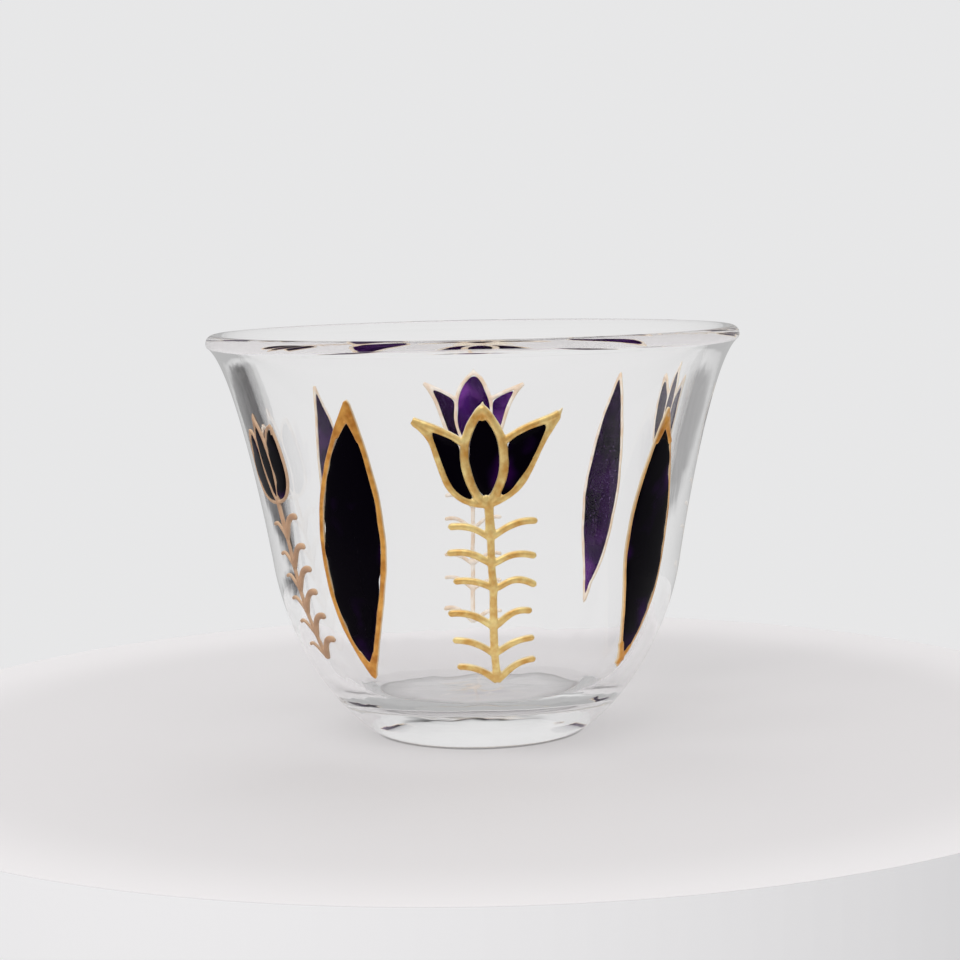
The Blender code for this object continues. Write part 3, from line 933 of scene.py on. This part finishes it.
def tulip_stem(number, breadth, seed):
    """Beads of a tulip's stem and twigs."""
    joints = SIDE_JOINTS if number == 4 else TWIG_JOINTS
    strays = FRONT_STRAYS if number == 1 else [
        STEM_STRAY * drift(seed, STRAY_WAVES * joint) for joint in joints]
    spine = [Vector((stray, -joint)) for joint, stray in zip(joints, strays)]
    thick = STEM_WIDTH if number == 1 else BACK_STEM
    upper, lower = STEM_SHARES
    beads = [bead([Vector((STEM_TOP, CALYX)), spine[0]], upper * thick, seed + 20),
             bead(spine, lower * thick, seed + 21)]
    for k, (joint, stray) in enumerate(zip(joints, strays)):
        for side in (0, 1):
            rise, arch, reach = FRONT_RISES[side][k], FRONT_ARCHES[side][k], FRONT_REACHES[side][k]
            if number > 1:
                rise = TWIG_RISE * (1.0 + TWIG_RISE_DRIFT * drift(seed + k, TWIG_RISE_ROW * side))
                arch = TWIG_ARCH * (1.0 + TWIG_ARCH_DRIFT * drift(seed + k, TWIG_ARCH_ROW + side))
                reach = TWIG_REACH * breadth
            if number == 4:
                rise, arch, reach = SIDE_RISES[side], SIDE_ARCH, SIDE_REACHES[side]
            path = twig(joint, reach * (1 if side else -1), rise, arch, stray)
            width = TWIG_WIDTH if number == 1 or number == 4 and side else FINE_TWIG
            beads.append(bead(path, width, seed + 22 + 2 * k + side))
    return beads


def tip_beads(edge, half, seed):
    """Beads that fill both tips of a leaf, led from its edge to a line inside it."""
    inner = shrunk(edge, TIP_INNER)
    middle = len(inner) // 2
    beads = []
    for end, first, last in zip((1, -1), TIP_STARTS, TIP_ENDS):
        for side in (range(middle), range(middle, len(inner))):
            shares = {k: end * inner[k].y / half for k in side}
            path = [edge[k].lerp(inner[k], min((share - first) / TIP_BLEND, 1.0))
                    for k, share in shares.items() if first < share < last]
            beads.append(bead(path, TIP_WIDTH, seed))
    return beads


def far_glow(place):
    """How clear the paint is in the back tulip's middle petal, raised in a spot on one side by a painted
    highlight.
    """
    across, up = [(value - middle) / size
                  for value, middle, size in zip(place, SPOT_HIGHLIGHT_PLACE, SPOT_HIGHLIGHT_SIZE)]
    # The spot adds a painted highlight on top of the paint's clearness
    return BACK_MIDDLE_CLEAR + SPOT_HIGHLIGHT * exp(-across ** 2 - up ** 2)


def far_fade(place):
    """How clear the paint is in the back leaf: it thins towards the bottom."""
    return min(max((-place.y - LEAF_FADE_FROM) / LEAF_FADE_RUN, 0.0), LEAF_FADE_MOST)


def dress():
    """Every piece of the cup, laid on the wall and named for the solid it replaces."""
    glass = clear_glass()
    gold = (gold_paste(), gold_back())
    purple = (purple_paint(), purple_back())
    cup = link("cup_body", glass_body(), [glass])
    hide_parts("glass_cup")
    for number, (angle, lean, height, size, breadth, spread, rise, heart) in enumerate(TULIPS, 1):
        spot = (angle, height * TULIP_FOOT, lean, size)
        seed = 100 * number
        beads, petals = tulip_flower(number, breadth, spread, rise, heart, seed)
        beads += tulip_stem(number, breadth, seed)
        # The left tulip's gold gets the tan of painted shade
        tone = SHADE_TAN_TONE if number == 4 else 0.0
        piece = laid(merged_paste(beads), spot, f"tulip_{number}_lines", gold, LINE_RISE, tone)
        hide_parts(f"tulip_{number}_gold")
        width = (LINE_WIDTH, BACK_LINE, BACK_LINE, SIDE_LINE)[number - 1]
        rounding = FRONT_ROUNDING if number == 1 else PETAL_ROUNDING
        for k, side in enumerate(("left", "centre", "right")):
            body = pool(*petals[side], seed + 60 + k, width, rounding)
            glow = (BACK_LEFT_CLEAR, far_glow, 0.0)[k] if number == 3 else 0.0
            piece = laid(body, spot, f"tulip_{number}_{side}_paint", purple, POOL_DEPTH, glow)
            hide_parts(f"tulip_{number}_petal_{side}")
    for number, (angle, lean, height, length, breadth, bow) in enumerate(LEAVES, 1):
        spot = (angle, height * LEAF_MIDDLE, lean, 1.0)
        seed = 1000 + 100 * number
        edge = leaf_edge(length * LEAF_LENGTH, breadth * LEAF_BREADTH, bow * LEAF_BOW)
        width, inset = FAR_LEAF_LINE, FAR_LEAF_INSET
        if number == 4:
            width, inset = NEAR_LEAF_LINE, NEAR_LEAF_INSET
        lines = [bead(edge, width, seed, closed=True)]
        insets = [inset] * len(edge)
        if number in (1, 4):
            half = length * LEAF_LENGTH / 2
            top, bottom = TIP_PAINT_ENDS
            insets = [inset + TIP_SLOPE * max(y / half - top, -y / half - bottom, 0.0) for _, y in edge]
            lines += tip_beads(edge, half, seed + 3)
        piece = laid(merged_paste(lines), spot, f"leaf_{number}_line", gold, LINE_RISE, LEAF_TONE)
        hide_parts(f"leaf_{number}_gold")
        body = pool(edge, insets, seed + 40, width, LEAF_ROUNDING)
        fade = far_fade if number == 2 else LEAF_CLEAR
        piece = laid(body, spot, f"leaf_{number}_paint", purple, POOL_DEPTH, fade)
        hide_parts(f"leaf_{number}_fill")


def set_stand():
    """Round pale stand, with a painted contact shadow in a soft ring where the cup touches it."""
    tree, shader, material = finish("stand")
    place = tree.place()
    radius = tree.node("ShaderNodeVectorMath", {"operation": "LENGTH"}, {0: place}, "Value")
    soft, line = CONTACT_SHADOW_SHARES
    # Painted contact shadow: a soft ring and a thin line round the cup's foot
    painted_shadow = radius.blur(*CONTACT_SHADOW_INSIDE) * soft + radius.blur(*CONTACT_SHADOW_LINE) * line
    painted_shadow = painted_shadow * (1.0 - radius.blur(*CONTACT_SHADOW_OUTSIDE))
    side = (place.axis("Z") * -1.0).blur(*STAND_EDGE)
    top = painted_shadow.tint(radius.blur(*STAND_FADE).tint(*STAND_TOP), CONTACT_SHADOW)
    feed(shader, Base_Color=side.tint(top, STAND_SIDE), Roughness=0.6, Specular_IOR_Level=0.2)
    disc = bmesh.new()
    bmesh.ops.create_cone(disc, cap_ends=True, segments=STAND_SEGMENTS, radius1=STAND_RADIUS,
                          radius2=STAND_RADIUS, depth=STAND_DEPTH, matrix=Matrix.Translation(STAND_PLACE))
    stand = shown("stand", disc, [material])


def set_dark_cards():
    """Dark cards beside the cup, which only show in rays that have turned inside the glass: a painted
    reflection of dark streaks.
    """
    tree, _, material = finish("dark_cards")
    across = tree.place().axis("X")
    clear, turns = tree.rays("Is Transmission Ray", "Glossy Depth")
    bent = clear * turns.blur(*TURNED)
    uneven = grain(tree, scale=0.05, detail=5.0, rough=0.65) * CARD_WOBBLE - CARD_WOBBLE / 2
    left, right = [(side * across + uneven).blur(near, far) * share for side, near, far, share in CARD_DARKS]
    # Streaked greys that the cards glow with: a painted reflection
    reflected_streaks = grain(tree, scale=0.08, detail=5.0, rough=0.7).blur(0.40, 0.70).tint(*CARD_REFLECTION_GREYS)
    grey = tree.node("ShaderNodeEmission", {}, {"Color": reflected_streaks})
    open_air = tree.node("ShaderNodeBsdfTransparent", {}, {})
    tree.between(bent * (left + right), open_air, grey).show("Material Output")
    flat = bmesh.new()
    front, back = CARD_DEPTHS
    for near, far in ((-CARD_FAR, -CARD_NEAR), (CARD_NEAR, CARD_FAR)):
        corners = ((near, front), (far, front), (far, back), (near, back))
        flat.faces.new([flat.verts.new((x, y, 0.0)) for x, y in corners])
    flags = shown("dark_cards", flat, [material])


def set_room():
    """Pale room: plain behind the cup, even light on it, and darker parts in mirrored and turned rays."""
    world = bpy.data.worlds.new("room")
    bpy.context.scene.world = world
    world.use_nodes = True
    tree = Signal(world.node_tree)
    way = tree.place("Generated")

    def patch(towards, inner, outer):
        """Share of a round patch of the room, by the angles at which it is full and gone."""
        aim = Vector(towards).normalized()
        return way.facing(aim).blur(cos(radians(outer)), cos(radians(inner)))

    front, up = way.facing((0.0, -1.0, 0.0)), way.facing((0.0, 0.0, 1.0))
    camera_ray, glossy, clear, turns = tree.rays(
        "Is Camera Ray", "Is Glossy Ray", "Is Transmission Ray", "Glossy Depth")
    belt = front.blur(-0.1, 0.4) * (1.0 - (up * up).blur(0.05, 0.35))
    dark = patch(OVERHEAD, inner=14, outer=42) * OVERHEAD_SHARE + belt * BELT_SHARE
    level = THROUGH_LEVEL - dark * turns.blur(*TURNED)
    low_front = front.blur(0.0, 0.6) * (1.0 - up.blur(-0.1, 0.5))
    shine = MIRROR_LEVEL - low_front * LOW_FRONT_SHARE + patch(BRIGHT, inner=12, outer=34) * BRIGHT_SHARE
    looks = ({"Color": level.tint(*GREYS)}, {"Strength": shine}, {"Color": ROOM_LIGHT}, {"Color": BACKDROP})
    through, mirror, light, plain = [tree.node("ShaderNodeBackground", {}, inputs) for inputs in looks]
    seen = tree.between(clear, tree.between(glossy, light, mirror), through)
    tree.between(camera_ray, seen, plain).show("World Output")


def aimed(item, place, aim):
    """Put a lamp or camera in the scene, and give the turn that faces it towards a point."""
    item.location = place
    bpy.context.scene.collection.objects.link(item)
    return (Vector(aim) - item.location).to_track_quat("-Z", "Y")


def set_stage():
    """Stand, cards, room, soft light from above and behind, and the camera."""
    set_stand()
    set_dark_cards()
    set_room()
    for name, place, breadth, depth, energy in LAMPS:
        lamp = bpy.data.lights.new(name, "AREA")
        lamp.shape = "RECTANGLE"
        lamp.size, lamp.size_y, lamp.energy = breadth, depth, energy
        shade = bpy.data.objects.new(name, lamp)
        shade.visible_glossy = shade.visible_transmission = False
        shade.rotation_euler = aimed(shade, place, LAMP_AIM).to_euler()
    lens = bpy.data.cameras.new("camera")
    lens.sensor_width = SENSOR
    lens.lens = SENSOR * FOCAL_PIXELS / PICTURE_PIXELS
    lens.shift_x = CAMERA_SHIFT
    lens.clip_start = CLIP_START
    camera = bpy.data.objects.new("camera", lens)
    turn = aimed(camera, CAMERA_PLACE, CAMERA_AIM).to_matrix()
    camera.rotation_euler = (turn @ Matrix.Rotation(CAMERA_ROLL, 3, "Z")).to_euler()
    bpy.context.scene.camera = camera
    bpy.context.scene.view_settings.view_transform = "Standard"


dress()
set_stage()
